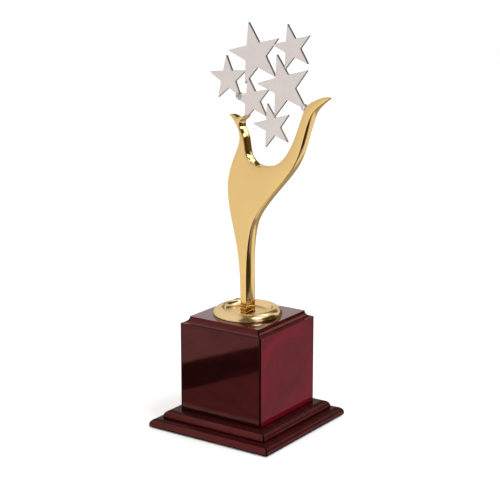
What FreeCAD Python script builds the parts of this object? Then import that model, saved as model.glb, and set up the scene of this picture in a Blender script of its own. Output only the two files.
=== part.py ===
import FreeCAD, Part
import math
import os

# Star trophy, millimetres.
# Origin: centre of the underside of the felt, +Z up. The front of the block faces -Y.
# The cast figure and the stars lie in the XZ plane, through the middle of the block.

V = FreeCAD.Vector

# ---- wooden base ------------------------------------------------------------
FELT_SIDE = 103.0
FELT_THICK = 1.0
FELT_CORNER = 3.0

LOWER_BOARD_SIDE = 111.0
LOWER_BOARD_THICK = 6.1
LOWER_BOARD_ROUND = 4.6         # quarter round worked along the top edge
UPPER_BOARD_SIDE = 95.0
UPPER_BOARD_THICK = 6.4
UPPER_BOARD_ROUND = 5.0
SPANNER_HOLE_R = 15.0           # hole through both boards, to reach the nut

BLOCK_SIDE = 75.0
BLOCK_HEIGHT = 75.6
BLOCK_EDGE_ROUND = 0.8
PANEL_THICK = 9.0
CAP_LEDGE = 0.4                 # the cap stands back from the panels by this much
CAP_THICK = 5.2
COVE_RADIUS = 5.0
CAP_PLUG_DEPTH = 8.0            # the part of the cap that drops between the panels

CORNER_BLOCK_SIDE = 12.0
CORNER_BLOCK_HEIGHT = 40.0

SCREW_LENGTH = 30.0
SCREW_SHANK_R = 2.0
SCREW_HEAD_R = 4.0
SCREW_HEAD_HEIGHT = 2.4
SCREW_TIP_R = 0.4
SCREW_CLEARANCE = 0.2
SCREW_SLOT_WIDTH = 1.0
SCREW_SLOT_DEPTH = 1.0

# ---- flange and its fixing ---------------------------------------------------
FLANGE_RADIUS = 27.0
FLANGE_EDGE = 1.4               # upright band round the outside
DISH_RADIUS = 15.5
DISH_FLOOR = 2.0
# points that the flange's section passes through, as (radius, height)
DOME_MIDDLE = (24.9, 4.3)
CREST = (20.8, 5.6)
CREST_INNER = (20.1, 5.55)
LIP = (19.5, 5.1)
DISH_WALL_MIDDLE = (18.0, 3.0)

STUD_R = 2.0                    # M4 threaded rod
STUD_IN_FIGURE = 14.0
STUD_BELOW_CAP = 8.0
STUD_CLEARANCE = 0.2
WASHER_R = 7.5
WASHER_THICK = 1.0
LOCK_WASHER_R = 3.8
LOCK_WASHER_THICK = 0.9
LOCK_WASHER_SPLIT = 0.6
NUT_ACROSS_FLATS = 7.0
NUT_HEIGHT = 3.2

# ---- cast figure, heights above its foot ----------------------------------------
FOOT_HALF_DEPTH = 6.8
BODY_HALF_DEPTH = 5.3
TIP_HALF_DEPTH = 1.4
WRIST_HEIGHT = 143.0            # the hands are above this
LEFT_WRIST_X = -7.5             # the outer points of the hands grow thin from here
RIGHT_WRIST_X = 57.0
BEYOND_LEFT = -20.0             # cutting shapes start and end clear of the figure
BEYOND_RIGHT = 80.0
BEYOND_TOP = 180.0

# ---- stars -------------------------------------------------------------------
STAR_THICK = 2.4
STAR_LARGE = 24.6               # centre to point, before the point is blunted
STAR_SMALL = 17.8
STAR_NOTCH = 0.40               # notch radius over point radius
STAR_TIP_ROUND = 0.2
STAR_EDGE_ROUND = 0.25

# ---- levels --------------------------------------------------------------------
Z_LOWER = FELT_THICK
Z_UPPER = Z_LOWER + LOWER_BOARD_THICK
Z_BLOCK = Z_UPPER + UPPER_BOARD_THICK
Z_TOP = Z_BLOCK + BLOCK_HEIGHT
Z_CAP = Z_TOP - CAP_THICK
Z_PLUG = Z_CAP - CAP_PLUG_DEPTH
Z_DISH = Z_TOP + DISH_FLOOR     # the figure's foot stands here

# name: (x, height above the flange dish, point radius, direction of the first point)
STARS = {
    "star_large_right": (33.3, 177.1, STAR_LARGE, 105.7),
    "star_small_lower_left": (4.6, 165.3, STAR_SMALL, 102.4),
    "star_large_upper_left": (7.2, 199.4, STAR_LARGE, 103.8),
    "star_small_upper_right": (40.2, 206.3, STAR_SMALL, 104.7),
    "star_small_left": (-17.4, 179.9, STAR_SMALL, 94.8),
    "star_small_bottom": (23.0, 146.9, STAR_SMALL, 105.7),
}

# Round lugs that end a star's point and join it to its neighbour: (x, height)
LUGS = {
    "right_hand_lug": (51.4, 162.9),
    "left_star_lug": (-7.7, 167.3),
}
LUG_RADIUS = 2.9
LUG_THICK = 4.0
LUG_ROUND = 1.4


def square_prism(side, z_low, height):
    return Part.makeBox(side, side, height, V(-side / 2, -side / 2, z_low))


def upright_cylinder(radius, z_low, height, x=0.0, y=0.0):
    return Part.makeCylinder(radius, height, V(x, y, z_low))


def edges_where(shape, test):
    """The straight edges whose two end points both pass the test."""
    found = []
    for edge in shape.Edges:
        ends = [vertex.Point for vertex in edge.Vertexes]
        if len(ends) == 2 and all(test(point) for point in ends):
            found.append(edge)
    return found


def upright_edges(shape):
    found = []
    for edge in shape.Edges:
        ends = [vertex.Point for vertex in edge.Vertexes]
        if len(ends) == 2 and abs(ends[0].z - ends[1].z) > 1e-6:
            if math.hypot(ends[0].x - ends[1].x, ends[0].y - ends[1].y) < 1e-6:
                found.append(edge)
    return found


def corner_places(offset):
    return [(sx * offset, sy * offset) for sx in (-1, 1) for sy in (-1, 1)]


# ---- wooden base ----------------------------------------------------------------
def felt_pad():
    pad = square_prism(FELT_SIDE, 0.0, FELT_THICK)
    return pad.makeFillet(FELT_CORNER, upright_edges(pad))


def screw_place():
    return BLOCK_SIDE / 2 - PANEL_THICK - CORNER_BLOCK_SIDE / 2


def countersunk_screw(x, y):
    head = Part.makeCone(SCREW_HEAD_R, SCREW_SHANK_R, SCREW_HEAD_HEIGHT, V(x, y, Z_LOWER))
    point_length = 2 * SCREW_SHANK_R
    shank = upright_cylinder(SCREW_SHANK_R, Z_LOWER, SCREW_LENGTH - point_length, x, y)
    point = Part.makeCone(SCREW_SHANK_R, SCREW_TIP_R, point_length,
                          V(x, y, Z_LOWER + SCREW_LENGTH - point_length))
    return head.fuse([shank, point]).removeSplitter()


def screw_slot(x, y):
    return Part.makeBox(2 * SCREW_HEAD_R, SCREW_SLOT_WIDTH, SCREW_SLOT_DEPTH,
                        V(x - SCREW_HEAD_R, y - SCREW_SLOT_WIDTH / 2, Z_LOWER))


def screw_hole(x, y):
    sink = Part.makeCone(SCREW_HEAD_R, SCREW_SHANK_R, SCREW_HEAD_HEIGHT, V(x, y, Z_LOWER))
    bore = upright_cylinder(SCREW_SHANK_R + SCREW_CLEARANCE, Z_LOWER, Z_BLOCK - Z_LOWER, x, y)
    return sink.fuse(bore)


def plinth_board(side, z_low, thick, edge_round):
    """A square board with a quarter round along its four top edges and its holes bored."""
    board = square_prism(side, z_low, thick)
    top = z_low + thick
    board = board.makeFillet(edge_round, edges_where(board, lambda p: abs(p.z - top) < 1e-6))
    board = board.cut(upright_cylinder(SPANNER_HOLE_R, z_low, thick))
    for x, y in corner_places(screw_place()):
        board = board.cut(screw_hole(x, y))
    return board


def block_panels():
    """Four upright panels, mitred at the corners of the block."""
    height = Z_CAP - Z_BLOCK
    outer = square_prism(BLOCK_SIDE, Z_BLOCK, height)
    outer = outer.makeFillet(BLOCK_EDGE_ROUND, upright_edges(outer))
    ring = outer.cut(square_prism(BLOCK_SIDE - 2 * PANEL_THICK, Z_BLOCK, height))
    reach = BLOCK_SIDE
    wedge_wire = Part.makePolygon([V(0, 0, Z_BLOCK), V(-reach, -reach, Z_BLOCK),
                                   V(reach, -reach, Z_BLOCK), V(0, 0, Z_BLOCK)])
    wedge = Part.Face(wedge_wire).extrude(V(0, 0, height))
    panels = {}
    for turn, name in enumerate(("front", "right", "rear", "left")):
        quarter = wedge.copy()
        quarter.rotate(V(0, 0, 0), V(0, 0, 1), 90 * turn)
        panels["block_panel_" + name] = ring.common(quarter)
    return panels


def block_cap():
    """The top board, with a cove worked along its four upper edges."""
    side = BLOCK_SIDE - 2 * CAP_LEDGE
    cap = square_prism(side, Z_CAP, CAP_THICK)
    for turn in range(4):
        cove = Part.makeCylinder(COVE_RADIUS, 2 * side, V(side / 2, -side, Z_TOP), V(0, 1, 0))
        cove.rotate(V(0, 0, 0), V(0, 0, 1), 90 * turn)
        cap = cap.cut(cove)
    plug = square_prism(BLOCK_SIDE - 2 * PANEL_THICK, Z_PLUG, CAP_PLUG_DEPTH)
    cap = cap.fuse(plug).removeSplitter()
    return cap.cut(upright_cylinder(STUD_R + STUD_CLEARANCE, Z_PLUG, Z_TOP - Z_PLUG))


def corner_blocks():
    """Four glue blocks in the corners of the box. The plinth's screws bite into them."""
    half = CORNER_BLOCK_SIDE / 2
    blocks = []
    for x, y in corner_places(screw_place()):
        block = Part.makeBox(2 * half, 2 * half, CORNER_BLOCK_HEIGHT, V(x - half, y - half, Z_BLOCK))
        blocks.append(block.cut(countersunk_screw(x, y)))
    return Part.makeCompound(blocks)


def plinth_screws():
    screws = [countersunk_screw(x, y).cut(screw_slot(x, y)) for x, y in corner_places(screw_place())]
    return Part.makeCompound(screws)


# ---- flange and its fixing ---------------------------------------------------------
def flange_disc():
    """Turned disc: domed rim, shallow dish, and a clearance hole for the stud."""
    def at(radius, height):
        return V(radius, 0, Z_TOP + height)

    hole = STUD_R + STUD_CLEARANCE
    foot, shoulder, crest = at(FLANGE_RADIUS, 0), at(FLANGE_RADIUS, FLANGE_EDGE), at(*CREST)
    lip, dish_edge = at(*LIP), at(DISH_RADIUS, DISH_FLOOR)
    profile = Part.Wire([
        Part.makeLine(at(hole, 0), foot),
        Part.makeLine(foot, shoulder),
        Part.Arc(shoulder, at(*DOME_MIDDLE), crest).toShape(),
        Part.Arc(crest, at(*CREST_INNER), lip).toShape(),
        Part.Arc(lip, at(*DISH_WALL_MIDDLE), dish_edge).toShape(),
        Part.makeLine(dish_edge, at(hole, DISH_FLOOR)),
        Part.makeLine(at(hole, DISH_FLOOR), at(hole, 0)),
    ])
    return Part.Face(profile).revolve(V(0, 0, 0), V(0, 0, 1), 360)


def stud():
    z_low = Z_PLUG - STUD_BELOW_CAP
    return upright_cylinder(STUD_R, z_low, Z_DISH + STUD_IN_FIGURE - z_low)


def ring(outer, inner, z_low, height):
    return upright_cylinder(outer, z_low, height).cut(upright_cylinder(inner, z_low, height))


def washer():
    return ring(WASHER_R, STUD_R + STUD_CLEARANCE, Z_PLUG - WASHER_THICK, WASHER_THICK)


def lock_washer():
    """A split spring washer, pressed flat."""
    z_low = Z_PLUG - WASHER_THICK - LOCK_WASHER_THICK
    gap = Part.makeBox(LOCK_WASHER_R, LOCK_WASHER_SPLIT, LOCK_WASHER_THICK,
                       V(0, -LOCK_WASHER_SPLIT / 2, z_low))
    return ring(LOCK_WASHER_R, STUD_R + STUD_CLEARANCE, z_low, LOCK_WASHER_THICK).cut(gap)


def nut():
    z_low = Z_PLUG - WASHER_THICK - LOCK_WASHER_THICK - NUT_HEIGHT
    corner = NUT_ACROSS_FLATS / 2 / math.cos(math.pi / 6)
    points = [V(corner * math.cos(math.radians(60 * k)), corner * math.sin(math.radians(60 * k)), z_low)
              for k in range(7)]
    hexagon = Part.Face(Part.makePolygon(points)).extrude(V(0, 0, NUT_HEIGHT))
    return hexagon.cut(upright_cylinder(STUD_R, z_low, NUT_HEIGHT))


# ---- cast figure ---------------------------------------------------------------------
# Front outline, as (x, height above the foot), in four smooth runs between its corners.
LEFT_FLANK = [(-3.2, 0), (-3.4, 16), (-5.3, 42), (-8.3, 57), (-12.9, 74.5), (-15.5, 88.5),
              (-15.8, 100), (-13.2, 112.5), (-8.2, 125), (-5.0, 134), (-5.2, 139.5),
              (-8.6, 146.5), (-16.4, 152.8)]
LEFT_HAND_TOP = [(-16.4, 152.8), (-12.5, 153.2), (-6.5, 151.1), (-2.6, 152.8), (0.4, 153.3)]
INSIDE_OF_ARMS = [(0.4, 153.3), (-0.6, 151.0), (-3.6, 148.4), (-4.1, 145.0), (-1.5, 139.6),
                  (0.7, 131), (2.8, 122.8), (9.0, 116.9), (18, 116.4), (27.5, 118.7),
                  (34.9, 124.2), (41.2, 133.4), (45.9, 143.6), (51.1, 157.5), (56.2, 166.3),
                  (62, 169.9), (68, 172.1), (74.3, 172.0)]
RIGHT_FLANK = [(74.3, 172.0), (67.8, 167), (61.4, 160.8), (57.6, 153.5), (53.8, 142),
               (48.4, 126), (42.4, 115.5), (35.2, 106.6), (25.7, 95.9), (15.6, 83.8), (9.0, 73.4),
               (5.3, 60), (3.6, 44), (3.3, 22), (3.3, 0)]
# Half of the stem's depth at each height, from the foot up to where the body starts.
STEM_HALF_DEPTH = [(FOOT_HALF_DEPTH, 0), (FOOT_HALF_DEPTH, 25), (6.3, 52), (5.55, 75),
                   (BODY_HALF_DEPTH, 90)]


def smooth_run(points):
    curve = Part.BSplineCurve()
    curve.interpolate([V(x, 0, Z_DISH + z) for x, z in points])
    return curve.toShape()


def side_view():
    """The figure's depth, seen along X, as a slab that the front outline is cut with."""
    top = Z_DISH + BEYOND_TOP
    sides = []
    for sign in (-1, 1):
        curve = Part.BSplineCurve()
        curve.interpolate([V(0, sign * depth, Z_DISH + z) for depth, z in STEM_HALF_DEPTH])
        shoulder = V(0, sign * BODY_HALF_DEPTH, Z_DISH + STEM_HALF_DEPTH[-1][1])
        sides += [curve.toShape(), Part.makeLine(shoulder, V(0, sign * BODY_HALF_DEPTH, top))]
    sides.append(Part.makeLine(V(0, -BODY_HALF_DEPTH, top), V(0, BODY_HALF_DEPTH, top)))
    sides.append(Part.makeLine(V(0, -FOOT_HALF_DEPTH, Z_DISH), V(0, FOOT_HALF_DEPTH, Z_DISH)))
    wire = Part.Wire(Part.__sortEdges__(sides))
    slab = Part.Face(wire).extrude(V(BEYOND_RIGHT - BEYOND_LEFT, 0, 0))
    slab.translate(V(BEYOND_LEFT, 0, 0))
    return slab


def hand_taper(wrist_x, tip_x, side):
    """The wedge taken off one face of a hand. side is -1 in front, +1 behind."""
    clear = 3 * BODY_HALF_DEPTH
    section = [(wrist_x, BODY_HALF_DEPTH), (tip_x, TIP_HALF_DEPTH), (tip_x, clear), (wrist_x, clear)]
    points = [V(x, side * depth, Z_DISH + WRIST_HEIGHT) for x, depth in section]
    return Part.Face(Part.makePolygon(points + points[:1])).extrude(V(0, 0, BEYOND_TOP - WRIST_HEIGHT))


def figure():
    """A stylised body with two raised arms, cast in one piece with its stem."""
    outline = Part.Wire([
        smooth_run(LEFT_FLANK),
        smooth_run(LEFT_HAND_TOP),
        smooth_run(INSIDE_OF_ARMS),
        smooth_run(RIGHT_FLANK),
        Part.makeLine(V(RIGHT_FLANK[-1][0], 0, Z_DISH), V(LEFT_FLANK[0][0], 0, Z_DISH)),
    ])
    body = Part.Face(outline)
    body.translate(V(0, -2 * BODY_HALF_DEPTH, 0))
    body = body.extrude(V(0, 4 * BODY_HALF_DEPTH, 0)).common(side_view())
    for side in (-1, 1):
        body = body.cut(hand_taper(LEFT_WRIST_X, LEFT_FLANK[-1][0] - 1, side))
        body = body.cut(hand_taper(RIGHT_WRIST_X, RIGHT_FLANK[0][0] + 1, side))
    return body.cut(upright_cylinder(STUD_R, Z_DISH, STUD_IN_FIGURE))


# ---- stars ------------------------------------------------------------------------------
def star(x, height, point_radius, direction):
    """A flat five-pointed star with blunted points and softened face edges."""
    corners = []
    for k in range(10):
        radius = point_radius if k % 2 == 0 else point_radius * STAR_NOTCH
        angle = math.radians(direction + 36 * k)
        corners.append(V(x + radius * math.cos(angle), -STAR_THICK / 2,
                         Z_DISH + height + radius * math.sin(angle)))
    plate = Part.Face(Part.makePolygon(corners + corners[:1])).extrude(V(0, STAR_THICK, 0))
    centre = V(x, 0, Z_DISH + height)

    def at_point(p):
        return math.hypot(p.x - centre.x, p.z - centre.z) > 0.9 * point_radius

    plate = plate.makeFillet(STAR_TIP_ROUND, edges_where(plate, at_point))
    face_edges = [e for e in plate.Edges
                  if all(abs(abs(v.Point.y) - STAR_THICK / 2) < 1e-6 for v in e.Vertexes)
                  and abs(e.CenterOfMass.y) > STAR_THICK / 2 - 1e-6]
    return plate.makeFillet(STAR_EDGE_ROUND, face_edges)


def lug(x, height):
    """A round button with softened rims, lying in the plane of the stars."""
    button = Part.makeCylinder(LUG_RADIUS, LUG_THICK, V(x, -LUG_THICK / 2, Z_DISH + height), V(0, 1, 0))
    rims = [e for e in button.Edges if abs(abs(e.CenterOfMass.y) - LUG_THICK / 2) < 1e-6]
    return button.makeFillet(LUG_ROUND, rims)


def star_cluster(cast_figure):
    """The lugs and stars. Each is trimmed where it meets the figure or one laid down before it."""
    laid = {}
    for name, place in list(LUGS.items()) + list(STARS.items()):
        shape = lug(*place) if name in LUGS else star(*place)
        for neighbour in [cast_figure] + list(laid.values()):
            if shape.common(neighbour).Volume > 0:
                shape = shape.cut(neighbour)
        laid[name] = max(shape.Solids, key=lambda solid: solid.Volume)
    return laid


def build():
    cast_figure = figure()
    parts = {
        "felt_pad": felt_pad(),
        "plinth_lower_board": plinth_board(LOWER_BOARD_SIDE, Z_LOWER, LOWER_BOARD_THICK,
                                           LOWER_BOARD_ROUND),
        "plinth_upper_board": plinth_board(UPPER_BOARD_SIDE, Z_UPPER, UPPER_BOARD_THICK,
                                           UPPER_BOARD_ROUND),
        "block_cap": block_cap(),
        "corner_blocks": corner_blocks(),
        "plinth_screws": plinth_screws(),
        "flange_disc": flange_disc(),
        "stud": stud(),
        "washer": washer(),
        "lock_washer": lock_washer(),
        "nut": nut(),
        "figure": cast_figure,
    }
    parts.update(block_panels())
    parts.update(star_cluster(cast_figure))
    return parts


def main():
    os.makedirs("parts", exist_ok=True)
    for name, shape in build().items():
        shape.exportStep("parts/" + name + ".step")
        box = shape.BoundBox
        print("%-24s valid %s  solids %d  volume %9.1f  z %.1f to %.1f"
              % (name, shape.isValid(), len(shape.Solids), shape.Volume, box.ZMin, box.ZMax))


main()
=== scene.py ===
import math

import bmesh
import bpy
import numpy as np
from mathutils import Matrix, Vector


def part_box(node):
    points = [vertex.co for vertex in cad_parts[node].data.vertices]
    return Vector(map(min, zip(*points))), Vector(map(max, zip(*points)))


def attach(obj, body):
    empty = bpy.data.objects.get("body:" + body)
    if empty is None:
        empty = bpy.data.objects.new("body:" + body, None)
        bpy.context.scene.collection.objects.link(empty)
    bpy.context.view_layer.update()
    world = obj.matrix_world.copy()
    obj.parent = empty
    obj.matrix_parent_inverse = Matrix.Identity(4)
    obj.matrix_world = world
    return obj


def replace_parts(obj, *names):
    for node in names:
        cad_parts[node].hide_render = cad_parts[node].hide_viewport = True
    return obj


# Star trophy, in metres and in the frame's own axes: +Z up, the front of the block faces -Y,
# and the gilt figure and the stars lie in the XZ plane.

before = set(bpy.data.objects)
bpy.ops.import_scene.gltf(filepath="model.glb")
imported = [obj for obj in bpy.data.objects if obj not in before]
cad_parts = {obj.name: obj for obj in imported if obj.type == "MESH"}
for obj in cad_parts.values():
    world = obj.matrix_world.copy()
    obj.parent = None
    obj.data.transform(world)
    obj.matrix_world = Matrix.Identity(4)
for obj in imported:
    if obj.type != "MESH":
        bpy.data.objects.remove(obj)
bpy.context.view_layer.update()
MM = 0.001

# ---- camera ------------------------------------------------------------------------------------
CAMERA_PLACE = (0.61378, -0.88357, 0.40514)
CAMERA_YAW = 34.69              # degrees, round the trophy's right-hand side
CAMERA_PITCH = 13.56            # degrees, looking down
CAMERA_LENS = 103.56            # mm
CAMERA_SENSOR = 36.0            # mm wide
CAMERA_RANGE = (0.01, 100.0)    # nearest and farthest things that it shows

# ---- studio ------------------------------------------------------------------------------------
TROPHY_MIDDLE = 0.14            # a height: lights aim at it, large screens are set out from it
SKY_COLOUR = (1.0, 0.997, 0.99, 1.0)
SKY_STRENGTH = 1.09
FLOOR_REACH = 12.0
FLOOR_GLOW = 0.065
FLOOR_TONES = [(0.3, (0.92, 0.92, 0.92)), (0.7, (0.94, 0.94, 0.94))]
KEY_LIGHT = ("key", (1.25, -0.2, 1.95), 0.75, 12)       # name, place, size and power
SIDE_LIGHT = ("side", (1.9, 0.7, 1.1), 1.0, 7)

# Light given off by the cards, which show only in reflections.
BLACK_CARD = (0.004, 0.003, 0.003)
BROWN_CARD = (0.058, 0.044, 0.015)
UMBER_CARD = (0.17, 0.11, 0.03)
OLIVE_CARD = (0.15, 0.15, 0.09)
PALE_CARD = (0.62, 0.60, 0.54)
DIM_CARD = (0.46, 0.42, 0.45)
DUSKY_CARD = (0.70, 0.39, 0.36)
WHITE_CARD = (4.6, 4.4, 4.2)

# Cards that lie just above the floor, because the trophy's upright sides reflect the floor. Where
# two of them overlap, the later one is the higher.
CARD_STEP = 0.0003              # up from the floor to the first card, and from each to the next
FLOOR_CARDS = [
    # dim_floor and dusky_card are painted shade: dim sheets standing for the floor shaded round
    # the trophy, as the glossy sides mirror it.
    ("dim_floor", DIM_CARD, [(0.056, -0.07), (0.26, 0.262), (0.26, 0.37), (0.03, 0.06)]),
    ("pale_card", PALE_CARD, [(-0.14, 0.18), (0.10, 0.18), (0.14, 0.46), (-0.14, 0.46)]),
    ("brown_floor", BROWN_CARD, [(0.080, 0.005), (0.262, 0.265), (0.262, 0.37), (1.5, 2.35),
                                 (3.0, 0.3), (1.5, -1.05), (0.10, -0.07)]),
    ("umber_far", UMBER_CARD, [(0.45, 0.72), (1.6, 2.55), (-1.1, 2.8), (-0.32, 0.79)]),
    ("dusky_card", DUSKY_CARD, [(-0.14, -0.076), (0.03, -0.076), (0.03, -0.245),
                                (-0.08, -0.245)]),
    ("black_strip", BLACK_CARD, [(-0.15, -0.09), (-0.104, -0.034), (-0.038, -0.240),
                                 (-0.08, -0.30)]),
]

# A level card, seen from below by the rounded edges of the boards, and from above by the
# right-hand panel.
# It is painted shade as well, with the dim card's light, so the rounded edges mirror a dim floor.
SHELF_HEIGHT = 0.056
SHELF_OUTLINE = [(0.060, 0.0), (0.130, 0.04), (0.130, 0.175), (0.060, 0.145)]

# A level strip far over the trophy: distance towards the camera, and half its width there.
STRIP_HEIGHT = 3.1
STRIP_WIDTHS = [(1.9, 0.80), (0.0, 0.55), (-3.5, 0.30)]

# Curved screens round the trophy: name, brightness, azimuths from +X and elevations, in degrees.
SCREEN_DISTANCE = 3.0
SCREENS = [
    ("brown_right", BROWN_CARD, (-6, 47), (-4, 44)),
    ("brown_right_high", BROWN_CARD, (47, 58), (9, 44)),
    ("umber_back_low", UMBER_CARD, (47, 112), (-4, 9)),
    ("umber_back", UMBER_CARD, (80, 119), (22, 43)),
    ("olive_front", OLIVE_CARD, (-84, -32), (-2, 62)),
]
# Small screens that light the inside of the left arm, each with the height it is seen from.
ARM_SCREEN_DISTANCE = 0.12
ARM_SCREENS = [
    ("white_high", WHITE_CARD, (38, 70), (12, 25), 0.232),
    ("white_low", WHITE_CARD, (60, 84), (25, 40), 0.217),
]

# ---- gilt figure, millimetres, heights above its foot ------------------------------------------
FIGURE_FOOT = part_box("figure")[0].z / MM
FOOT_HALF_DEPTH = 6.8
BODY_HALF_DEPTH = 5.3
TAPER_START = 20                # height at which the stem starts to thin to the body's depth
TAPER_HEIGHT = 72
TIP_HALF_DEPTH = 1.4
TIP_MARGIN = 1                  # how far past its end a hand would reach that depth
HAND_THINNING = 1.15            # 1 for a straight taper, more for one that starts slowly
WRIST_HEIGHT = 143.0
LEFT_WRIST_X = -7.5
RIGHT_WRIST_X = 57.0
LEFT_FLANK = [(-3.2, 0), (-3.4, 16), (-5.3, 42), (-8.3, 57), (-12.9, 74.5), (-15.5, 88.5),
              (-15.8, 100), (-13.2, 112.5), (-8.2, 125), (-5.0, 134), (-5.2, 139.5),
              (-8.6, 146.5), (-16.4, 152.8)]
LEFT_HAND_TOP = [(-16.4, 152.8), (-12.5, 153.2), (-6.5, 151.1), (-2.6, 152.8), (0.4, 153.3)]
INSIDE_OF_ARMS = [(0.4, 153.3), (-0.6, 151.0), (-3.6, 148.4), (-4.1, 145.0), (-1.5, 139.6),
                  (0.7, 131), (2.8, 122.8), (9.0, 116.9), (18, 116.4), (27.5, 118.7),
                  (34.9, 124.2), (41.2, 133.4), (45.9, 143.6), (51.1, 157.5), (56.2, 166.3),
                  (62, 169.9), (68, 172.1), (74.3, 172.0)]
RIGHT_FLANK = [(74.3, 172.0), (67.8, 167), (61.4, 160.8), (57.6, 153.5), (53.8, 142),
               (48.4, 126), (42.4, 115.5), (35.2, 106.6), (25.7, 95.9), (15.6, 83.8), (9.0, 73.4),
               (5.3, 60), (3.6, 44), (3.3, 22), (3.3, 0)]
MIDDLE_OF_BODY = [(0, 0), (-0.5, 30), (-1.5, 55), (-2.0, 72), (2.0, 92)]
FORK_X = 13.5                   # where the body parts into two arms
LEFT_SHOULDER_HEIGHT = 104.5
RIGHT_SHOULDER_HEIGHT = 95.9
LEFT_ARM_LENGTH = 42.0          # roughly, and a little short: it places the rows of its hand

# Section through an edge: a nearly flat side, a corner round, and a soft crown on the face.
SIDE_TILT = math.radians(9)     # how far the side has turned when the corner starts
FACE_TILT = math.radians(9)     # how far from flat the face is where the corner ends
CORNER_ROUND = 0.8
CORNER_SHARE = 0.3              # at most, of the half depth where the figure is thin
CROWN_REACH = 2.6
CROWN_SHARE = 0.7
SMOOTHING_START = 1.6           # distance in from the outline where creases start to be smoothed
SMOOTHING_RUN = 1.6

# Mesh of the figure: distances in from the outline at which it has a line of vertices, drawn
# closer together where the figure is narrow, and rows of vertices along each part.
EDGE_LINES = [0, .01, .04, .09, .16, .25, .34, .43, .53, .65, .78, .92, 1.1, 1.45, 2.0]
EDGE_SHARE = 0.4                # at most, of the width between two curves
TRUNK_ROWS = 150
LEFT_ARM_ROWS = 80
RIGHT_ARM_ROWS = 140
WELD_DISTANCE = 1e-6            # metres
SLIVER_LENGTH = 1e-7            # metres

# ---- gilt flange, millimetres: radius and height above its foot --------------------------------
FLANGE_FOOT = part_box("flange_disc")[0].z / MM
FLANGE_HOLE = 2.2
FOOT_EDGE = [(26.7, 0.0), (26.92, 0.08), (27.0, 0.3)]
DOME_CENTRE = (20.8, 0.3)
DOME_WIDTH = 6.2
DOME_RISE = 5.3
CREST_EDGE = [(20.8, 5.6), (20.1, 5.5), (19.5, 5.05)]
DISH_WALL = [(19.5, 5.05), (18.0, 3.0), (15.5, 2.02)]
DISH_FLOOR = [(15.0, 1.97), (8.0, 2.0)]
FLANGE_THICKNESS = 2.0          # round the hole

# ---- metals ------------------------------------------------------------------------------------
POLISHED_GOLD = (0.634, 0.434, 0.179)   # the figure
SATIN_GOLD = (0.70, 0.51, 0.26)         # the flange
GOLD_TINT = (0.74, 0.70, 0.62, 1.0)

# ---- wood --------------------------------------------------------------------------------------
WOOD_SPECULAR = 0.55
SPECULAR_SPREAD = (0.82, 1.18)  # shares of it, from the dullest to the shiniest mottling
GLOSS_TINT = (1.0, 0.24, 0.21)
# DEEP_TINT and the side panels' brighter colour are painted light: a lit copy of the front's wood
# for the right-hand face.
DEEP_TINT = (1.0, 0.13, 0.12)   # the gloss of the two side panels
ROSEWOOD = [(0.30, (0.0080, 0.0022, 0.0016)), (0.48, (0.0150, 0.0026, 0.0026)),
            (0.62, (0.0230, 0.0028, 0.0036)), (0.76, (0.0120, 0.0024, 0.0022))]
# Dark lines: the mitred corners' joints, and at the seams joints with painted contact shade.
JOINT_AND_SHADE_LINE = (0.0015, 0.0010, 0.0008, 1.0)
SEAM_WIDTH = 0.0024             # metres
CORNER_LINE_WIDTH = 0.0026


# ---- small tools -------------------------------------------------------------------------------
def new_object(name, mesh, material):
    """Puts a finished mesh in the scene as a smooth piece of the trophy."""
    piece = bpy.data.objects.new(name, mesh)
    bpy.context.scene.collection.objects.link(piece)
    mesh.materials.append(material)
    mesh.polygons.foreach_set("use_smooth", [True] * len(mesh.polygons))
    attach(piece, "root")
    return piece


def smooth_curve(points, per_span=40):
    """A cubic spline through the points, sampled finely. The spacing of its knots is by chord."""
    p = np.array(points, float)
    knots = np.concatenate([[0], np.cumsum(np.linalg.norm(np.diff(p, axis=0), axis=1))])
    n, h = len(p), np.diff(knots)
    system, right = np.eye(n), np.zeros((n, 2))
    for i in range(1, n - 1):
        system[i, i - 1], system[i, i], system[i, i + 1] = h[i - 1], 2 * (h[i - 1] + h[i]), h[i]
        right[i] = 6 * ((p[i + 1] - p[i]) / h[i] - (p[i] - p[i - 1]) / h[i - 1])
    bend = np.linalg.solve(system, right)
    samples = []
    for i in range(n - 1):
        u = np.linspace(0, h[i], per_span, endpoint=False)[:, None]
        slope = (p[i + 1] - p[i]) / h[i] - h[i] * (2 * bend[i] + bend[i + 1]) / 6
        samples.append(p[i] + slope * u + bend[i] * u ** 2 / 2
                       + (bend[i + 1] - bend[i]) * u ** 3 / (6 * h[i]))
    return np.concatenate(samples + [p[-1:]])


def along(curve, fractions):
    """Points of a sampled curve at fractions of its length."""
    length = np.concatenate([[0], np.cumsum(np.linalg.norm(np.diff(curve, axis=0), axis=1))])
    where = np.clip(fractions, 0, 1) * length[-1]
    return np.stack([np.interp(where, length, curve[:, k]) for k in (0, 1)], axis=-1)


def ease(x):
    """Runs smoothly from 0 to 1 as x does."""
    x = np.clip(x, 0, 1)
    return x * x * (3 - 2 * x)


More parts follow.
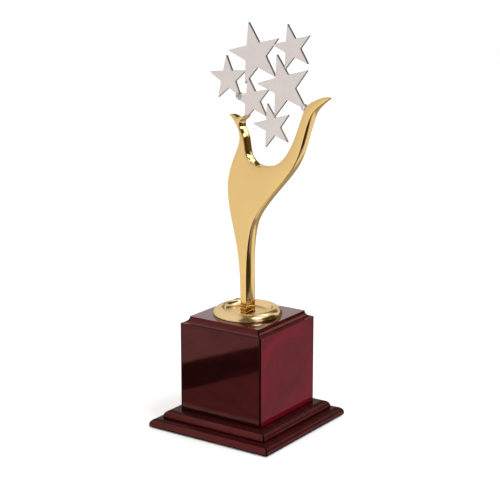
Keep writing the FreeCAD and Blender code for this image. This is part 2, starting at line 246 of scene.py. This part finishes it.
# ---- materials ---------------------------------------------------------------------------------
class Surface:
    """A Principled material with short calls for its procedural nodes."""

    def __init__(self, name, **sockets):
        self.material = bpy.data.materials.new(name)
        self.material.use_nodes = True
        self.tree = self.material.node_tree
        self.shader = self.tree.nodes["Principled BSDF"]
        self.place = self.node("ShaderNodeTexCoord").outputs["Object"]
        for socket, value in sockets.items():
            self.shader.inputs[socket.replace("_", " ")].default_value = value

    def node(self, kind, **values):
        made = self.tree.nodes.new(kind)
        for key, value in values.items():
            setattr(made, key, value)
        return made

    def link(self, source, target):
        self.tree.links.new(source, target)

    def stretched(self, scale):
        mapping = self.node("ShaderNodeMapping")
        self.link(self.place, mapping.inputs["Vector"])
        mapping.inputs["Scale"].default_value = scale
        return mapping.outputs["Vector"]

    def noise(self, scale, detail=3.0, roughness=0.5, stretch=(1, 1, 1), distortion=0.0):
        made = self.node("ShaderNodeTexNoise")
        self.link(self.stretched(stretch), made.inputs["Vector"])
        made.inputs["Scale"].default_value = scale
        made.inputs["Detail"].default_value = detail
        made.inputs["Roughness"].default_value = roughness
        made.inputs["Distortion"].default_value = distortion
        return made.outputs["Fac"]

    def ramp(self, source, stops):
        made = self.node("ShaderNodeValToRGB")
        self.link(source, made.inputs["Fac"])
        elements = made.color_ramp.elements
        while len(elements) < len(stops):
            elements.new(0.5)
        for element, (position, colour) in zip(elements, stops):
            element.position = position
            element.color = (*colour, 1.0)
        return made.outputs["Color"]

    def between(self, source, low, high):
        """A number that runs from low to high as the source runs from 0.3 to 0.7."""
        made = self.node("ShaderNodeMapRange")
        self.link(source, made.inputs["Value"])
        for socket, value in (("From Min", 0.3), ("From Max", 0.7),
                              ("To Min", low), ("To Max", high)):
            made.inputs[socket].default_value = value
        return made.outputs["Result"]

    def axes(self, vector):
        """The X, Y and Z of a vector."""
        made = self.node("ShaderNodeSeparateXYZ")
        self.link(vector, made.inputs["Vector"])
        return [made.outputs[k] for k in "XYZ"]

    def facing(self):
        """The X, Y and Z of the direction that the surface faces."""
        return self.axes(self.node("ShaderNodeTexCoord").outputs["Normal"])

    def math(self, operation, *values):
        made = self.node("ShaderNodeMath", operation=operation)
        for socket, value in zip(made.inputs, values):
            if isinstance(value, bpy.types.NodeSocket):
                self.link(value, socket)
            else:
                socket.default_value = value
        return made.outputs["Value"]

    def near(self, source, place, width):
        """1 where the source is at a place, and 0 from half a width away."""
        gap = self.math("ABSOLUTE", self.math("SUBTRACT", source, place))
        faded = self.math("MINIMUM", self.math("MULTIPLY", gap, 2 / width), 1.0)
        return self.math("SUBTRACT", 1.0, self.math("POWER", faded, 2.0))

    def blend(self, factor, first, second, mode="MIX"):
        made = self.node("ShaderNodeMix", data_type="RGBA", blend_type=mode)
        for socket, value in ((made.inputs["Factor"], factor), (made.inputs[6], first),
                              (made.inputs[7], second)):
            if isinstance(value, bpy.types.NodeSocket):
                self.link(value, socket)
            else:
                socket.default_value = value
        return made.outputs[2]

    def bumps(self, *layers):
        """Chains bump layers, each (height source, depth in metres, strength)."""
        normal = None
        for source, depth, strength in layers:
            made = self.node("ShaderNodeBump")
            self.link(source, made.inputs["Height"])
            made.inputs["Distance"].default_value = depth
            made.inputs["Strength"].default_value = strength
            if normal is not None:
                self.link(normal, made.inputs["Normal"])
            normal = made.outputs["Normal"]
        return normal

    def set(self, **sources):
        for socket, source in sources.items():
            self.link(source, self.shader.inputs[socket.replace("_", " ")])
        return self.material


def gold(name, tone, smoothest, roughest):
    """Gilding, faintly clouded in its tone and its polish."""
    s = Surface(name, Metallic=1.0, Specular_Tint=GOLD_TINT)
    cloud = s.noise(28, detail=2)
    colour = s.ramp(cloud, [(0.35, tone), (0.65, tuple(1.05 * part for part in tone))])
    rough = s.between(s.noise(260, detail=4, roughness=0.6), smoothest, roughest)
    normal = s.bumps((s.noise(55, detail=1), 0.0006, 0.05),
                     (s.noise(900, detail=2), 0.0001, 0.03))
    return s.set(Base_Color=colour, Roughness=rough, Normal=normal)


def silver():
    """Satin faces, and sawn edges that are rougher than the faces and painted darker as shade."""
    s = Surface("satin_silver", Metallic=1.0)
    face = s.ramp(s.math("ABSOLUTE", s.facing()[1]), [(0.45, (0, 0, 0)), (0.75, (1, 1, 1))])
    cloud = s.noise(60, detail=3)
    bright = s.ramp(cloud, [(0.3, (0.590, 0.530, 0.510)), (0.7, (0.615, 0.555, 0.535))])
    # Faces turned sideways, the edges, get a near-black colour: painted shade.
    sawn_and_shaded = s.ramp(s.noise(900, detail=2), [(0.3, (0.055, 0.048, 0.044)),
                                           (0.7, (0.125, 0.11, 0.10))])
    brushed = s.noise(500, detail=4, roughness=0.65, stretch=(0.25, 1, 3.0))
    rough = s.blend(face, (0.36, 0.36, 0.36, 1), s.between(brushed, 0.26, 0.32))
    normal = s.bumps((brushed, 0.0001, 0.03), (s.noise(45, detail=1), 0.0006, 0.04))
    return s.set(Base_Color=s.blend(face, sawn_and_shaded, bright), Roughness=rough, Normal=normal)


def solder():
    """The lugs are blobs of solder, with small pits painted dark as shade and lumps painted light
    as highlights.
    """
    s = Surface("solder", Metallic=1.0)
    lumps = s.noise(520, detail=2)
    # The same noise makes the bumps and the colour: dark in the pits as painted shade, light on
    # the lumps as painted highlights.
    colour = s.ramp(lumps, [(0.36, (0.07, 0.062, 0.058)), (0.48, (0.42, 0.38, 0.36)),
                            (0.66, (0.70, 0.65, 0.63))])
    return s.set(Base_Color=colour, Roughness=s.between(lumps, 0.20, 0.34),
                 Normal=s.bumps((lumps, 0.0008, 0.6)))


def lacquered_wood(name, grain, strength, seams, corner=None, dull_ledge=0.0,
                   gloss_tint=GLOSS_TINT):
    """Rosewood under a red-tinted gloss, with dark lines at seams: joints, with painted contact
    shade.

    grain stretches the wood's figure (small along it) and strength scales its colour. seams are
    heights in mm, where dark lines run round the upright faces: joints, darkened further as
    painted shade where the parts of the base meet. corner is half the side of a block whose
    upright corners are dark, or None for boards, whose mitred corners are dark along the
    diagonals. dull_ledge is how much of its shine a flat top gives up, which paints shade on the
    tops.
    """
    s = Surface(name, Specular_Tint=(*gloss_tint, 1.0))
    bands = s.noise(10, detail=5, roughness=0.6, stretch=grain, distortion=1.2)
    colour = s.ramp(bands, ROSEWOOD)
    pores = s.noise(60, detail=3, roughness=0.7, stretch=tuple(3 * g for g in grain))
    pore_mask = s.ramp(pores, [(0.30, (0.45, 0.45, 0.45)), (0.42, (1, 1, 1))])
    colour = s.blend(0.3, colour, pore_mask, "MULTIPLY")
    colour = s.blend(1.0, colour, (*strength, 1.0), "MULTIPLY")
    x, y, height = s.axes(s.place)
    across, along_y = s.math("ABSOLUTE", x), s.math("ABSOLUTE", y)
    # The seam lines are dark joints with painted contact shade where the parts of the base meet;
    # the corner lines are dark mitre joints.
    lines = [s.near(height, seam * MM, SEAM_WIDTH) for seam in seams]
    if corner is not None:
        lines.append(s.near(s.math("MINIMUM", across, along_y), corner * MM, CORNER_LINE_WIDTH))
    else:
        lines.append(s.near(s.math("SUBTRACT", across, along_y), 0.0, SEAM_WIDTH))
    dark = lines[0]
    for line in lines[1:]:
        dark = s.math("MAXIMUM", dark, line)
    not_flat = s.ramp(s.facing()[2], [(0.90, (1, 1, 1)), (0.97, (0, 0, 0))])
    dark = s.math("MULTIPLY", dark, not_flat)
    colour = s.blend(dark, colour, JOINT_AND_SHADE_LINE)
    mottling = s.between(s.noise(75, detail=4, roughness=0.6, stretch=grain),
                         *(share * WOOD_SPECULAR for share in SPECULAR_SPREAD))
    sheen = s.math("MULTIPLY", mottling, s.math("SUBTRACT", 1.0, dark))
    # Flat tops lose shine by dull_ledge: painted shade that darkens the reflections on the board
    # tops.
    dulled = s.math("MULTIPLY", dull_ledge, s.math("SUBTRACT", 1.0, not_flat))
    sheen = s.math("MULTIPLY", sheen, s.math("SUBTRACT", 1.0, dulled))
    gloss = s.math("MULTIPLY_ADD", dark, 0.5, s.between(s.noise(38, detail=3), 0.045, 0.085))
    return s.set(Base_Color=colour, Roughness=gloss, Specular_IOR_Level=sheen,
                 Normal=s.bumps((s.noise(70, detail=1), 0.0004, 0.03)))


def plain_wood():
    s = Surface("plain_softwood", Specular_IOR_Level=0.3)
    rings = s.noise(14, detail=4, roughness=0.6, stretch=(6, 6, 0.6), distortion=0.8)
    colour = s.ramp(rings, [(0.3, (0.26, 0.14, 0.06)), (0.7, (0.47, 0.30, 0.15))])
    return s.set(Base_Color=colour, Roughness=s.between(rings, 0.6, 0.8),
                 Normal=s.bumps((rings, 0.0002, 0.4)))


def felt():
    s = Surface("wool_felt", Specular_IOR_Level=0.15, Sheen_Weight=0.4, Sheen_Roughness=0.5)
    fibres = s.noise(1400, detail=5, roughness=0.75, stretch=(1, 1, 0.4), distortion=2.0)
    colour = s.ramp(fibres, [(0.3, (0.008, 0.016, 0.010)), (0.7, (0.022, 0.045, 0.028))])
    return s.set(Base_Color=colour, Roughness=s.between(fibres, 0.85, 1.0),
                 Normal=s.bumps((fibres, 0.0004, 0.6)))


def zinc():
    s = Surface("zinc_plated_steel", Metallic=1.0)
    cloud = s.noise(420, detail=3)
    colour = s.ramp(cloud, [(0.3, (0.44, 0.45, 0.44)), (0.7, (0.60, 0.60, 0.56))])
    return s.set(Base_Color=colour, Roughness=s.between(cloud, 0.28, 0.42),
                 Normal=s.bumps((s.noise(900), 0.0001, 0.2)))


# ---- gilt figure -------------------------------------------------------------------------------
def spaced(width, between=12):
    """Fractions from 0 to 1 across a width in mm, close together at both ends."""
    lines = np.array(EDGE_LINES)
    lines = lines * min(1.0, EDGE_SHARE * width / lines[-1]) / width
    middle = np.linspace(lines[-1], 1 - lines[-1], between + 2)[1:-1]
    return np.concatenate([lines, middle, 1 - lines[::-1]])


def patch(left, right, bottom, top, rows):
    """A grid of points inside four curves. bottom and top run from left to right."""
    on_left, on_right = along(left, rows), along(right, rows)
    grid = []
    narrowest = 1e-3
    for t, first, last in zip(rows, on_left, on_right):
        s = spaced(max(np.linalg.norm(last - first), narrowest))[:, None]
        line = (1 - s) * first + s * last
        for share, end in ((1 - t, bottom), (t, top)):
            line = line + share * (along(end, s[:, 0]) - (1 - s) * end[0] - s * end[-1])
        grid.append(line)
    return np.array(grid)


def edge_distance(points, outline):
    """How far each point is from the outline, exactly, and by a measure that has no creases."""
    start, run = outline[:-1], np.diff(outline, axis=0)
    middles, lengths = start + run / 2, np.linalg.norm(run, axis=1)
    power, least_gap, block_size = 6, 0.05, 2000
    # the sum below, for an endless straight outline at a distance of 1
    straight_line = math.sqrt(math.pi) * math.gamma((power - 1) / 2) / math.gamma(power / 2)
    exact, soft = [], []
    for block in np.array_split(points, max(1, len(points) // block_size)):
        away = block[:, None, :] - start[None]
        t = np.clip((away * run).sum(2) / (run ** 2).sum(1), 0, 1)
        exact.append(np.linalg.norm(away - t[..., None] * run, axis=2).min(1))
        gaps = np.linalg.norm(block[:, None, :] - middles[None], axis=2) + least_gap
        total = (lengths / gaps ** power).sum(1) / straight_line
        soft.append(total ** (-1 / (power - 1)))
    return np.concatenate(exact), np.concatenate(soft)


def half_depth(points):
    """Half of the figure's depth at each point: a deep stem, an even body, and thin hands."""
    x, height = points[:, 0], points[:, 1]
    tapered = ease((height - TAPER_START) / TAPER_HEIGHT)
    depth = FOOT_HALF_DEPTH - (FOOT_HALF_DEPTH - BODY_HALF_DEPTH) * tapered
    thin = BODY_HALF_DEPTH - TIP_HALF_DEPTH
    right = (x - RIGHT_WRIST_X) / (RIGHT_FLANK[0][0] + TIP_MARGIN - RIGHT_WRIST_X)
    left = (x - LEFT_WRIST_X) / (LEFT_FLANK[-1][0] - TIP_MARGIN - LEFT_WRIST_X)
    hand = np.where(height > WRIST_HEIGHT, np.clip(np.maximum(left, right), 0, 1), 0)
    return depth - thin * hand ** HAND_THINNING


def surface_depth(points, outline):
    """Distance of the front or rear surface from the figure's middle plane."""
    near, soft = edge_distance(points, outline)
    full = half_depth(points)
    corner = np.minimum(CORNER_ROUND, CORNER_SHARE * full)
    crown = np.minimum(CROWN_REACH, CROWN_SHARE * full) * math.tan(FACE_TILT)
    flat_corner = corner * (math.cos(FACE_TILT) - math.sin(SIDE_TILT))
    side = (full - crown - flat_corner) / math.sin(SIDE_TILT)
    side_width = side * (1 - math.cos(SIDE_TILT))
    corner_width = corner * (math.cos(SIDE_TILT) - math.sin(FACE_TILT))
    inward = 1 - np.minimum(near, side_width) / side
    on_side = side * np.sqrt(np.clip(1 - inward ** 2, 0, None))
    level = np.clip(math.cos(SIDE_TILT) - (near - side_width) / corner, math.sin(FACE_TILT), 1)
    on_corner = (side * math.sin(SIDE_TILT)
                 + corner * (np.sqrt(1 - level ** 2) - math.sin(SIDE_TILT)))
    past = near - side_width - corner_width
    reach = crown / math.tan(FACE_TILT)
    smooth = near + (soft - near) * ease((near - SMOOTHING_START) / SMOOTHING_RUN)
    inside = np.maximum(smooth - side_width - corner_width, 0)
    on_face = on_corner + np.where(past > 0, crown * (1 - np.exp(-inside / reach)), 0)
    return np.where(near < side_width, on_side, on_face)


def split_at(curve, axis, value):
    """Cuts a sampled curve in two at its first sample past a value."""
    k = int(np.argmax(curve[:, axis] >= value))
    return curve[:k + 1], curve[k:]


def body_patches():
    """The outline, and grids of points over the body's two halves and over each arm."""
    left_low, left_high = split_at(smooth_curve(LEFT_FLANK), 1, LEFT_SHOULDER_HEIGHT)
    right_low, right_high = split_at(smooth_curve(RIGHT_FLANK)[::-1], 1, RIGHT_SHOULDER_HEIGHT)
    hand_top = smooth_curve(LEFT_HAND_TOP)
    inside = smooth_curve(INSIDE_OF_ARMS)
    dip = int(np.argmin(inside[:, 1]))
    search = 60
    near_fork = abs(inside[dip - search:dip + search, 0] - FORK_X)
    fork = dip - search + int(np.argmin(near_fork))
    inside_left, inside_right = inside[:fork + 1][::-1], inside[fork:]
    middle = smooth_curve(MIDDLE_OF_BODY + [tuple(inside[fork])])
    outline = np.concatenate([left_low, left_high[1:], hand_top[1:], inside[1:],
                              right_high[::-1][1:], right_low[::-1][1:]])
    foot_left = np.array([left_low[0], middle[0]])
    foot_right = np.array([middle[0], right_low[0]])
    left_seam = np.array([left_low[-1], inside[fork]])
    right_seam = np.array([inside[fork], right_low[-1]])
    tip = np.array([inside[-1], inside[-1]])
    trunk_rows = np.linspace(0, 1, TRUNK_ROWS)
    edge_rows = np.array(EDGE_LINES[::-1]) / LEFT_ARM_LENGTH
    hand_rows = np.concatenate([np.linspace(0, 1 - edge_rows[0], LEFT_ARM_ROWS)[:-1],
                                1 - edge_rows])
    arm_rows = np.linspace(0, 1, RIGHT_ARM_ROWS)
    return outline, [patch(left_low, middle, foot_left, left_seam, trunk_rows),
                     patch(left_high, inside_left, left_seam, hand_top, hand_rows),
                     patch(middle, right_low, foot_right, right_seam, trunk_rows),
                     patch(inside_right, right_high, right_seam, tip, arm_rows)]


def figure_mesh():
    """The figure, the same in front as behind, with a flat foot."""
    outline, grids = body_patches()
    vertices, faces = [], []
    for grid in grids:
        flat = grid.reshape(-1, 2)
        depth = surface_depth(flat, outline)
        rows, columns = grid.shape[:2]
        for sign in (-1, 1):
            base = sum(len(v) for v in vertices)
            place = [flat[:, 0], sign * depth, flat[:, 1] + FIGURE_FOOT]
            vertices.append(np.stack(place, axis=1) * MM)
            for i in range(rows - 1):
                for j in range(columns - 1):
                    a = base + i * columns + j
                    quad = (a, a + 1, a + columns + 1, a + columns)
                    faces.append(quad if sign < 0 else quad[::-1])
    mesh = bpy.data.meshes.new("figure_mesh")
    mesh.from_pydata(np.concatenate(vertices).tolist(), [], faces)
    work = bmesh.new()
    work.from_mesh(mesh)
    bmesh.ops.remove_doubles(work, verts=work.verts, dist=WELD_DISTANCE)
    bmesh.ops.dissolve_degenerate(work, edges=work.edges, dist=SLIVER_LENGTH)
    rim = [e for e in work.edges if e.is_boundary]
    bmesh.ops.holes_fill(work, edges=rim, sides=0)
    bmesh.ops.recalc_face_normals(work, faces=work.faces)
    work.to_mesh(mesh)
    work.free()
    return mesh


# ---- gilt flange -------------------------------------------------------------------------------
def arc_through(a, b, c, steps):
    """Points of the circular arc from a through b to c."""
    (ax, ay), (bx, by), (cx, cy) = a, b, c
    d = 2 * (ax * (by - cy) + bx * (cy - ay) + cx * (ay - by))
    ux = ((ax ** 2 + ay ** 2) * (by - cy) + (bx ** 2 + by ** 2) * (cy - ay)
          + (cx ** 2 + cy ** 2) * (ay - by)) / d
    uy = ((ax ** 2 + ay ** 2) * (cx - bx) + (bx ** 2 + by ** 2) * (ax - cx)
          + (cx ** 2 + cy ** 2) * (bx - ax)) / d
    radius = math.hypot(ax - ux, ay - uy)
    first, mid, last = (math.atan2(y - uy, x - ux) for x, y in (a, b, c))
    turn = (last - first) % (2 * math.pi)
    if (mid - first) % (2 * math.pi) > turn:
        turn -= 2 * math.pi
    turns = [first + turn * k / steps for k in range(steps + 1)]
    return [(ux + radius * math.cos(t), uy + radius * math.sin(t)) for t in turns]


def quarter_oval(centre, width, rise, steps):
    """Points from the outermost point of an oval up to its crest."""
    turns = [math.pi / 2 * k / steps for k in range(steps + 1)]
    return [(centre[0] + width * math.cos(t), centre[1] + rise * math.sin(t)) for t in turns]


def turned(name, profile, foot, segments=160):
    """A closed section, as (radius, height) in mm, turned about the Z axis."""
    work = bmesh.new()
    rings = []
    for k in range(segments):
        a = 2 * math.pi * k / segments
        rings.append([work.verts.new((r * math.cos(a) * MM, r * math.sin(a) * MM,
                                      (foot + z) * MM)) for r, z in profile])
    count = len(profile)
    for k in range(segments):
        here, there = rings[k], rings[(k + 1) % segments]
        for j in range(count):
            n = (j + 1) % count
            work.faces.new((here[j], there[j], there[n], here[n]))
    bmesh.ops.recalc_face_normals(work, faces=work.faces)
    mesh = bpy.data.meshes.new(name)
    work.to_mesh(mesh)
    work.free()
    return mesh


def flange_mesh():
    """The flange: a rounded foot, an oval dome, a rounded crest, a dish and its hole."""
    section = [(FLANGE_HOLE, 0.0), FOOT_EDGE[0]]
    section += arc_through(*FOOT_EDGE, steps=4)[1:]
    section += quarter_oval(DOME_CENTRE, DOME_WIDTH, DOME_RISE, steps=24)[1:]
    section += arc_through(*CREST_EDGE, steps=6)[1:]
    section += arc_through(*DISH_WALL, steps=14)[1:]
    section += [*DISH_FLOOR, (FLANGE_HOLE, FLANGE_THICKNESS)]
    return turned("flange_mesh", section, FLANGE_FOOT)


# ---- surroundings ------------------------------------------------------------------------------
def camera():
    data = bpy.data.cameras.new("camera")
    data.sensor_width = CAMERA_SENSOR
    data.lens = CAMERA_LENS
    data.clip_start, data.clip_end = CAMERA_RANGE
    made = bpy.data.objects.new("camera", data)
    bpy.context.scene.collection.objects.link(made)
    made.location = CAMERA_PLACE
    made.rotation_euler = (math.radians(90 - CAMERA_PITCH), 0, math.radians(CAMERA_YAW))
    bpy.context.scene.camera = made


def stage_mesh(name, corners, material, faces=None):
    """A part of the studio: one face through its corners, unless it is given faces."""
    mesh = bpy.data.meshes.new(name)
    mesh.from_pydata([tuple(c) for c in corners], [], faces or [tuple(range(len(corners)))])
    mesh.materials.append(material)
    made = bpy.data.objects.new(name, mesh)
    bpy.context.scene.collection.objects.link(made)
    return made


def reflector(name, corners, brightness, faces=None):
    """A studio card that shows only in reflections."""
    s = Surface(name)
    s.tree.nodes.remove(s.shader)
    glow = s.node("ShaderNodeEmission")
    glow.inputs["Color"].default_value = (*brightness, 1.0)
    output = next(n for n in s.tree.nodes if n.type == "OUTPUT_MATERIAL")
    s.link(glow.outputs["Emission"], output.inputs["Surface"])
    card = stage_mesh(name, corners, s.material, faces)
    card.visible_camera = False
    card.visible_diffuse = False
    card.visible_shadow = False
    card.visible_transmission = False


def curved_screen(name, brightness, azimuths, elevations, distance=SCREEN_DISTANCE,
                  seen_from=TROPHY_MIDDLE, steps=16):
    """A curved card round the trophy, seen from a height on its axis between pairs of angles."""
    corners = []
    for elevation in elevations:
        for k in range(steps + 1):
            azimuth = math.radians(azimuths[0] + (azimuths[1] - azimuths[0]) * k / steps)
            corners.append((distance * math.cos(azimuth), distance * math.sin(azimuth),
                            seen_from + distance * math.tan(math.radians(elevation))))
    row = steps + 1
    faces = [(k, k + 1, row + k + 1, row + k) for k in range(steps)]
    reflector(name, corners, brightness, faces)


def overhead_strip():
    """Corners of the level strip over the trophy, which is in line with the camera."""
    yaw = math.radians(CAMERA_YAW)
    towards = Vector((math.sin(yaw), -math.cos(yaw), 0))
    across = Vector((math.cos(yaw), math.sin(yaw), 0))
    middle = Vector((0, 0, STRIP_HEIGHT))
    right = [middle + reach * towards + half * across for reach, half in STRIP_WIDTHS]
    left = [middle + reach * towards - half * across for reach, half in STRIP_WIDTHS]
    return right + left[::-1]


def soft_light(name, place, size, power, seen_in_reflections=True):
    data = bpy.data.lights.new(name, "AREA")
    data.shape = "DISK"
    data.size = size
    data.energy = power
    made = bpy.data.objects.new(name, data)
    bpy.context.scene.collection.objects.link(made)
    made.location = place
    aim = Vector((0, 0, TROPHY_MIDDLE))
    made.rotation_euler = (aim - Vector(place)).to_track_quat("-Z", "Y").to_euler()
    made.visible_glossy = seen_in_reflections


def studio():
    """A plain white studio, with a pale floor, two soft lights and the cards."""
    world = bpy.data.worlds.new("studio")
    bpy.context.scene.world = world
    world.use_nodes = True
    sky = world.node_tree.nodes["Background"]
    sky.inputs["Color"].default_value = SKY_COLOUR
    sky.inputs["Strength"].default_value = SKY_STRENGTH
    floor = Surface("pale_floor", Roughness=0.6, Specular_IOR_Level=0.2,
                    Emission_Strength=FLOOR_GLOW, Emission_Color=(1, 1, 1, 1))
    floor.set(Base_Color=floor.ramp(floor.noise(9, detail=2), FLOOR_TONES))
    stage_mesh("floor", [(x * FLOOR_REACH, y * FLOOR_REACH, 0)
                         for x, y in ((-1, -1), (1, -1), (1, 1), (-1, 1))], floor.material)
    soft_light(*KEY_LIGHT)
    soft_light(*SIDE_LIGHT, seen_in_reflections=False)
    for step, (name, brightness, outline) in enumerate(FLOOR_CARDS):
        reflector(name, [(x, y, CARD_STEP * (1 + step)) for x, y in outline], brightness)
    reflector("dim_shelf", [(x, y, SHELF_HEIGHT) for x, y in SHELF_OUTLINE], DIM_CARD)
    for screen in SCREENS:
        curved_screen(*screen)
    reflector("olive_overhead", overhead_strip(), OLIVE_CARD)
    for *screen, height in ARM_SCREENS:
        curved_screen(*screen, ARM_SCREEN_DISTANCE, height)


# ---- the trophy --------------------------------------------------------------------------------
def dress_cad_nodes():
    """Gives its material to every CAD piece that keeps its own mesh."""
    levels = {name: [z / MM for z in (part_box(name)[0].z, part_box(name)[1].z)]
              for name in ("plinth_lower_board", "plinth_upper_board")}
    seams = [*levels["plinth_lower_board"], levels["plinth_upper_board"][1]]
    half_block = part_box("block_panel_front")[1].x / MM
    front = lacquered_wood("lacquered_front", grain=(0.9, 0.9, 2.2), strength=(1, 1, 1),
                           seams=seams, corner=half_block)
    # The side panels are a lit copy of the front's wood, brighter red with a deeper red gloss:
    # painted light of the right-hand face.
    side = lacquered_wood("lacquered_side_lit", grain=(1.0, 1.0, 1.8), strength=(5.6, 0.8, 2.4),
                          seams=seams, corner=half_block, gloss_tint=DEEP_TINT)
    cap = lacquered_wood("lacquered_cap", grain=(0.5, 4.0, 1.5), strength=(2.2, 1.0, 1.1),
                         seams=seams)
    ledges = lacquered_wood("lacquered_ledges", grain=(0.5, 4.0, 1.5), strength=(2.2, 1.3, 1.4),
                            seams=seams, dull_ledge=0.95)
    bright, lumpy, steel = silver(), solder(), zinc()
    dress = {"felt_pad": felt(), "corner_blocks": plain_wood(), "block_cap": cap,
             "block_panel_front": front, "block_panel_rear": front,
             "block_panel_left": side, "block_panel_right": side,
             "plinth_lower_board": ledges, "plinth_upper_board": ledges}
    dress.update({name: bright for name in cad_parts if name.startswith("star")})
    dress.update({name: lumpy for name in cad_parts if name.endswith("_lug")})
    dress.update(dict.fromkeys(("plinth_screws", "stud", "washer", "lock_washer", "nut"), steel))
    for name, material in dress.items():
        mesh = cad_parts[name].data
        mesh.materials.clear()
        mesh.materials.append(material)


def main():
    camera()
    studio()
    dress_cad_nodes()
    polished = gold("polished_gold", POLISHED_GOLD, smoothest=0.085, roughest=0.125)
    satin = gold("satin_gold", SATIN_GOLD, smoothest=0.17, roughest=0.23)
    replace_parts(new_object("gilt_figure", figure_mesh(), polished), "figure")
    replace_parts(new_object("gilt_flange", flange_mesh(), satin), "flange_disc")
    bpy.context.scene.view_settings.view_transform = "Standard"


main()
